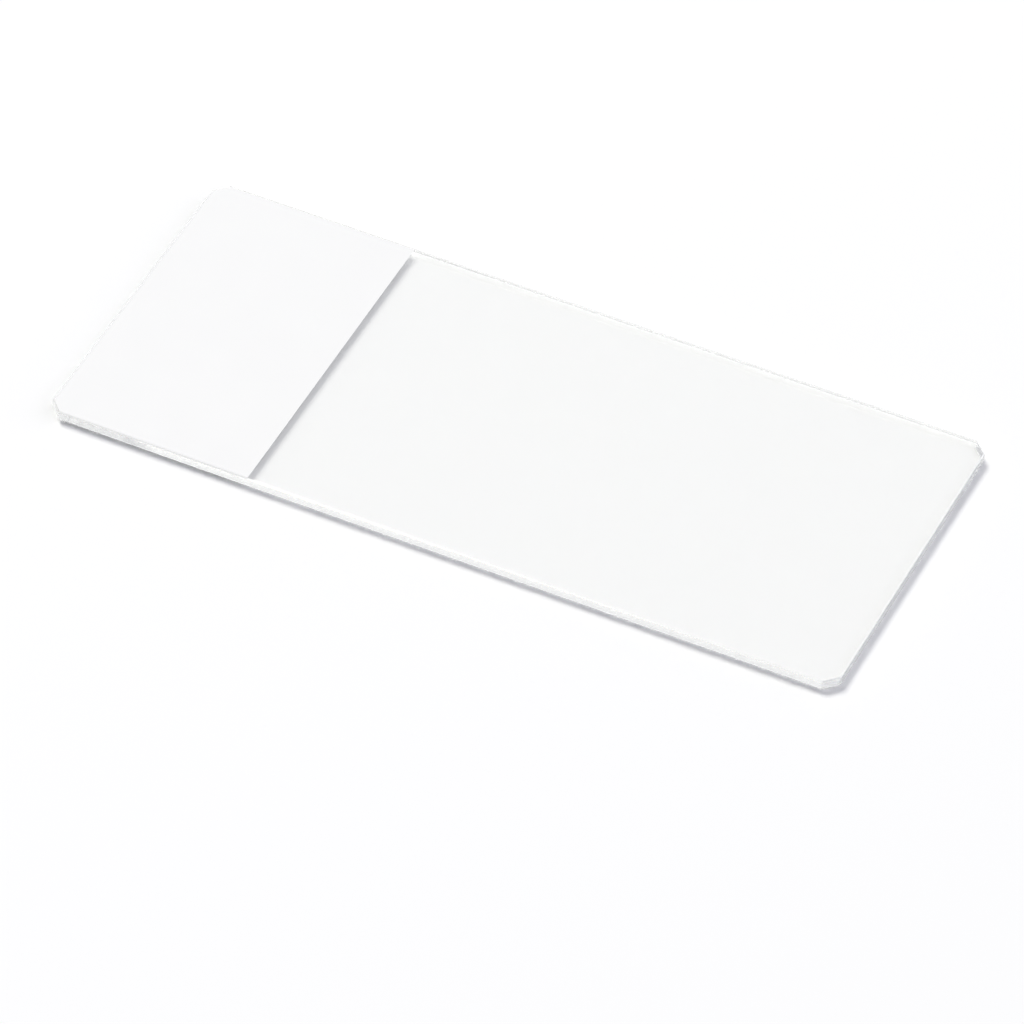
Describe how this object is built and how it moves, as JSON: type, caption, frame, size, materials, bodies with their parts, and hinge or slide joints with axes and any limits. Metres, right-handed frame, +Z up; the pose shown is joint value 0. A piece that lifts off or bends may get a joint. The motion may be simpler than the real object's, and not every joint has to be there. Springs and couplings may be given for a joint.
{
  "type": "microscope slide",
  "caption": "Flat clear glass laboratory slide with ground edges, clipped corners and a white marking end.",
  "frame": {"origin": "middle of the underside of the glass, on the surface that the slide lies on", "axes": "+X along the slide's length, from the marking end to the clear end; +Y across its width; +Z up, out of the coated face"},
  "size_m": [0.075, 0.032, 0.0012],
  "materials": {
    "clear_glass": "polished clear glass with finely ground edges and bevels",
    "white_coat": "thin matt white printed coat that takes pencil"
  },
  "bodies": {
    "root": {"glass_plate": "clear_glass", "marking_coat": "white_coat"}
  },
  "joints": []
}
